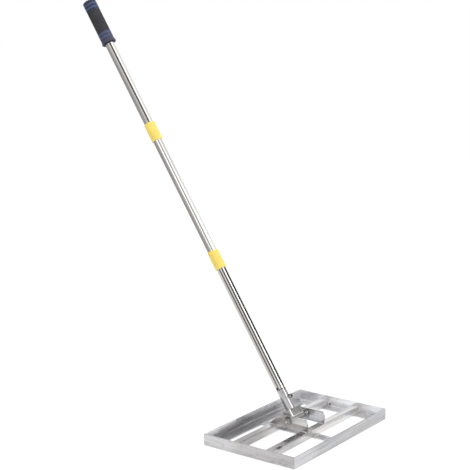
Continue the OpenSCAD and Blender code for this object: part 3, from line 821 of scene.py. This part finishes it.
# neck bolt: a nut welded on the front of the neck and a set bolt with a socket in its head
neckBolt = {
    "flats": 10, "nutHeight": 5, "headHeight": 4, "radius": 3, "tip": 6.5, "socket": 5, "socketDepth": 2.6,
    "sunk": 1.3, "flange": 4.6, "flangeHeight": 0.35,
}
toFront = (onHandle @ Matrix.Translation((0, 0, handle["neckBoltHeight"]))
           @ Matrix.Rotation(math.radians(90), 4, "X"))
seat, nutTop = handle["tubeRadius"] - neckBolt["sunk"], handle["tubeRadius"] + neckBolt["nutHeight"]
bm = hexBody(neckBolt["flats"], nutTop - seat)
bmesh.ops.translate(bm, vec=(0, 0, seat), verts=bm.verts)
finishPiece("neck_nut_welded", bm, "handle", neckSteel, ["neck_nut"], toFront)
bm = hexBody(neckBolt["flats"], neckBolt["headHeight"] - 0.3, socket=neckBolt["socket"],
             socketDepth=neckBolt["socketDepth"])
bmesh.ops.translate(bm, vec=(0, 0, nutTop + 0.3), verts=bm.verts)
flangeTop = nutTop + neckBolt["flangeHeight"]
flange = [(0, nutTop), (neckBolt["flange"] - 0.2, nutTop), (neckBolt["flange"], flangeTop), (0, flangeTop)]
joinInto(bm, latheFrom(flange, 40, False))
radius, tip = neckBolt["radius"], neckBolt["tip"]
profile = [(0, tip), (radius - 0.6, tip)] + threadProfile(radius, tip + 0.6, nutTop, 1.0, 0.5)
profile += [(radius - 0.4, nutTop + 0.1), (0, nutTop + 0.1)]
joinInto(bm, latheFrom(profile, 32, False))
finishPiece("neck_bolt_turned", bm, "handle", neckBoltSteel, ["neck_bolt"], toFront)

# lock screw: low round head with a hexagon socket, on the near side of the handle; its dome is given as
# radius and distance below the top
lock = {
    "height": 84.5, "headHeight": 1.6, "headRadius": 3.5, "shank": 2, "tip": 8, "socket": 2.5,
    "socketDepth": 1.4, "sunk": 0.45, "dome": ((2.3, 0.05), (3.0, 0.35), (3.35, 0.8)),
}
low, high = handle["tubeRadius"] - lock["sunk"], handle["tubeRadius"] + lock["headHeight"]
socketRadius, socketFloor = lock["socket"] / 2, high - lock["socketDepth"]
profile = [(socketRadius, socketFloor), (socketRadius, high)] + [(r, high - drop) for r, drop in lock["dome"]]
profile += [(lock["headRadius"], low + 0.6), (lock["headRadius"], low), (lock["shank"], low),
            (lock["shank"], lock["tip"]), (0, lock["tip"]), (0, socketFloor)]
bm = latheFrom(profile, 40, False)
toNearSide = (onHandle @ Matrix.Translation((0, 0, lock["height"]))
              @ Matrix.Rotation(math.radians(-90), 4, "Y"))
finishPiece("lock_screw_turned", bm, "handle", screwBlack, ["lock_screw"], toNearSide)
print("clevis and neck made")

tubes = {"joints": (80, 454, 836), "top": 1233, "bore": 11.5, "lip": 0.35}
ends = tubes["joints"] + (tubes["top"],)
for name, low, high in zip(("lower_tube", "middle_tube", "upper_tube"), ends, ends[1:]):
    bm = latheFrom(roundedTube(low, high, handle["tubeRadius"], tubes["bore"], tubes["lip"]), 128)
    finishPiece(name + "_drawn", bm, "handle", tubeSteel, [name], onHandle)

collars = {"half": 26, "radius": 14.75, "round": 1.3}
half, radius, r, bore = collars["half"], collars["radius"], collars["round"], handle["tubeRadius"]
edge = [(radius - r + r * math.sin(a), half - r + r * math.cos(a)) for a in (0, 0.4, 0.8, 1.2, math.pi / 2)]
profile = [(bore, -half)] + [(x, -z) for x, z in edge] + [(x, z) for x, z in reversed(edge)] + [(bore, half)]
for name, centre in (("lower_collar", tubes["joints"][1]), ("upper_collar", tubes["joints"][2])):
    bm = latheFrom([(x, z + centre) for x, z in profile], 96)
    finishPiece(name + "_moulded", bm, "handle", collarYellow, [name], onHandle)

# the grip's rims are lists of points: radius against the grip's own, and distance from the end they belong to
grip = {
    "start": 1108, "end": 1237, "radius": 18, "cuff": 33, "ringWidth": 3, "ringProud": 0.3, "ringInset": 17,
    "ringPitch": 10.5, "sleeveSteps": 12, "hollow": 3, "dish": 0.7, "cap": 4,
    "sleeveRim": ((-0.7, 0), (-0.15, 0.25), (0, 0.9)),
    "cuffRim": ((-0.2, 0), (0, 0.4)),
    "lowerLip": ((-2.6, 3), (-2, 2.6), (-1.8, 0.7), (-1.2, 0), (1.2, 0), (1.85, 0.5), (2, 1.3), (1.7, 3.4),
                 (0.9, 6), (0.25, 8), (0, 9.5)),
    "upperEnd": ((0, 3), (-0.15, 1.8), (-0.7, 0.8), (-1.7, 0.15), (-3, 0), (-3.8, 0.25), (-4.4, 0.7)),
}
out, top = grip["radius"], grip["end"]


def rim(kind, end, way):
    return [(out + beside, end + way * along) for beside, along in grip[kind]]


sleeveLow, sleeveHigh = grip["start"] + grip["cuff"], top - grip["cuff"]
sleeveStep = (sleeveHigh - sleeveLow) / grip["sleeveSteps"]
profile = [(bore, sleeveLow)] + rim("sleeveRim", sleeveLow, 1)
profile += [(out, sleeveLow + sleeveStep * i) for i in range(1, grip["sleeveSteps"])]
profile += rim("sleeveRim", sleeveHigh, -1)[::-1] + [(bore, sleeveHigh)]
bm = latheFrom(profile, 96)
finishPiece("grip_sleeve_foam", bm, "handle", gripBlack, ["grip_sleeve"], onHandle)

profile = [(bore, grip["start"] + grip["hollow"])] + rim("lowerLip", grip["start"], 1)
profile += rim("cuffRim", sleeveLow, -1)[::-1] + [(bore, sleeveLow)]
bm = latheFrom(profile, 96)
finishPiece("lower_cuff_moulded", bm, "handle", cuffNavyLow, ["lower_cuff"], onHandle)

profile = [(bore, sleeveHigh)] + rim("cuffRim", sleeveHigh, 1) + rim("upperEnd", top, -1)
profile += [(0, top - grip["dish"]), (0, top - grip["cap"]), (bore, top - grip["cap"])]
bm = latheFrom(profile, 96)
finishPiece("upper_cuff_moulded", bm, "handle", cuffNavy, ["upper_cuff"], onHandle)

bm = bmesh.new()
first, last = grip["start"] + grip["ringInset"], grip["end"] - grip["ringInset"]
places = (first, first + grip["ringPitch"], last + grip["ringPitch"] / 2, last - grip["ringPitch"] / 2)
half, crown = grip["ringWidth"] / 2, out + grip["ringProud"]
upperHalf = [(crown, 0.5), (crown - 0.05, half - 0.35), (out, half), (out - 1, half)]
for z in places:
    profile = [(r, z - rise) for r, rise in reversed(upperHalf)] + [(r, z + rise) for r, rise in upperHalf]
    joinInto(bm, latheFrom(profile, 96))
finishPiece("grip_rings_moulded", bm, "handle", ringBlue, ["grip_rings"], onHandle)
print("handle made")

# the pieces inside keep their solids and get their finish
turned = ("neck_stud", "lower_socket", "lower_stud", "middle_socket", "middle_stud", "upper_socket")
for node, material in [(node, insertSteel) for node in turned] + [("tube_plug", plugBlack)]:
    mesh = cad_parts[node].data
    mesh.materials.clear()
    mesh.materials.append(material)


# the studio: a white floor and world, three softboxes, and flags that only reflections see
# white is the floor's strength for the camera, facing the turn of the camera's side about the handle in
# degrees, and climb how much further up a ray meets a flag, for each millimetre of height and distance
studio = {
    "white": 1.15, "floorShadow": 0.3, "worldLight": 0.75, "facing": 217.1, "climb": 0.00028,
    "floorTone": (0.95, 0.95, 0.95, 1), "worldTone": (0.93, 0.95, 1.0, 1), "floorSize": 12,
    "floorDrop": 0.0006, "aim": (0, 0.2, 0.3), "flagSteps": 12,
}
flags = {
    # distance from the handle, low and high end of the tube that they serve, and for each flag
    # its two angles from the camera's side and its tone
    "neck": (450, 4, 76, ((-45, -20, 0.98), (-20, 44, 0.85), (44, 62, 2.4), (62, 88, 0.75), (88, 130, 0.45))),
    "lower_back": (220, 80, 454, ((-150, -66, 0.70),)),
    "lower": (400, 80, 454, (
        (-66, -26, 0.16), (-26, 0, 0.8), (0, 34, 0.06), (45, 57, 1.0), (61, 130, 0.03))),
    "middle": (450, 454, 836, (
        (-160, -60, 0.345), (-60, -45, 0.44), (-45, -32, 0.56), (-32, -18, 0.71),
        (4, 20, 0.12), (45, 61, 1.4), (74, 100, 0.62))),
    "upper": (450, 836, 1240, (
        (-160, -58, 0.345), (-58, -44, 0.42), (-44, -30, 0.52), (-30, -2, 0.66),
        (-2, 35, 0.08), (47, 75, 1.4), (90, 125, 0.82))),
}


def whiteForSight(tree, strength, lit, shadow):
    # camera, mirror and glass rays see plain white; the rest of the light sees the lit surface
    path = tree.nodes.new("ShaderNodeLightPath")
    names = ("Is Camera Ray", "Is Glossy Ray", "Is Transmission Ray")
    camera, glossy, glass = [Wire(tree, path.outputs[name]) for name in names]
    seen = camera + glossy + glass
    glow = tree.nodes.new("ShaderNodeEmission")
    glow.inputs["Strength"].default_value = strength
    blend = tree.nodes.new("ShaderNodeMixShader")
    plug(tree, blend.inputs[0], seen * (1 - shadow))
    tree.links.new(lit, blend.inputs[1])
    tree.links.new(glow.outputs[0], blend.inputs[2])
    return blend.outputs[0]


def stageObject(name, bm, material):
    mesh = bpy.data.meshes.new(name)
    bm.to_mesh(mesh)
    bm.free()
    mesh.materials.append(material)
    thing = bpy.data.objects.new(name, mesh)
    scene.collection.objects.link(thing)
    thing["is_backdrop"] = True
    return thing


def makeFlag(name, distance, low, high, firstAngle, lastAngle, tone):
    # part of a cylinder round the handle, in one even tone, a little warm where it is dark
    material = bpy.data.materials.new(name)
    material.use_nodes = True
    tree = material.node_tree
    tree.nodes.clear()
    glow = tree.nodes.new("ShaderNodeEmission")
    glow.inputs["Color"].default_value = (tone * 1.03, tone, tone * 0.98, 1)
    out = tree.nodes.new("ShaderNodeOutputMaterial")
    tree.links.new(glow.outputs[0], out.inputs[0])
    bm = bmesh.new()
    # a mirror ray climbs along the handle on its way to the flag, the more the higher it starts
    verts = [bm.verts.new((distance, 0, z + z * studio["climb"] * distance)) for z in (low, high)]
    edge = bm.edges.new(verts)
    facing = Matrix.Rotation(math.radians(studio["facing"] + firstAngle), 3, "Z")
    bmesh.ops.rotate(bm, cent=(0, 0, 0), matrix=facing, verts=verts)
    bmesh.ops.spin(bm, geom=verts + [edge], cent=(0, 0, 0), axis=(0, 0, 1),
                   angle=math.radians(lastAngle - firstAngle), steps=studio["flagSteps"],
                   use_merge=False, use_duplicate=False)
    bmesh.ops.transform(bm, matrix=Matrix.Scale(0.001, 4) @ onHandle, verts=bm.verts)
    flag = stageObject(name, bm, material)
    flag.visible_camera = flag.visible_diffuse = flag.visible_shadow = flag.visible_transmission = False


def makeStudio():
    floorMaterial = bpy.data.materials.new("floor_white")
    floorMaterial.use_nodes = True
    tree = floorMaterial.node_tree
    tree.nodes.clear()
    paint = tree.nodes.new("ShaderNodeBsdfDiffuse")
    paint.inputs["Color"].default_value = studio["floorTone"]
    out = tree.nodes.new("ShaderNodeOutputMaterial")
    surface = whiteForSight(tree, studio["white"], paint.outputs[0], studio["floorShadow"])
    tree.links.new(surface, out.inputs[0])
    bm = bmesh.new()
    bmesh.ops.create_grid(bm, x_segments=1, y_segments=1, size=studio["floorSize"])
    floor = stageObject("floor", bm, floorMaterial)
    floor.location = (0, 0, -studio["floorDrop"])

    world = bpy.data.worlds.new("studio_world")
    scene.world = world
    world.use_nodes = True
    tree = world.node_tree
    tree.nodes.clear()
    dim = tree.nodes.new("ShaderNodeBackground")
    dim.inputs["Color"].default_value = studio["worldTone"]
    dim.inputs["Strength"].default_value = studio["worldLight"]
    out = tree.nodes.new("ShaderNodeOutputWorld")
    tree.links.new(whiteForSight(tree, 1.0, dim.outputs[0], 0.0), out.inputs[0])

    lamps = (
        ("key_softbox", (0.6, -2.6, 2.2), 1.6, 34),
        ("fill_softbox", (-2.6, 0.4, 1.6), 1.6, 12),
        ("top_softbox", (0.2, 0.4, 3.0), 2.2, 30),
    )
    for name, place, size, power in lamps:
        data = bpy.data.lights.new(name, "AREA")
        data.size, data.energy = size, power
        lamp = bpy.data.objects.new(name, data)
        lamp.location = place
        lamp.rotation_euler = (Vector(studio["aim"]) - Vector(place)).to_track_quat("-Z", "Y").to_euler()
        lamp.visible_glossy = name != "top_softbox"
        scene.collection.objects.link(lamp)

    for part, (distance, low, high, cards) in flags.items():
        for number, card in enumerate(cards):
            makeFlag(f"flag_{part}_{number}", distance, low, high, *card)


makeStudio()
print("studio set")

low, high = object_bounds()
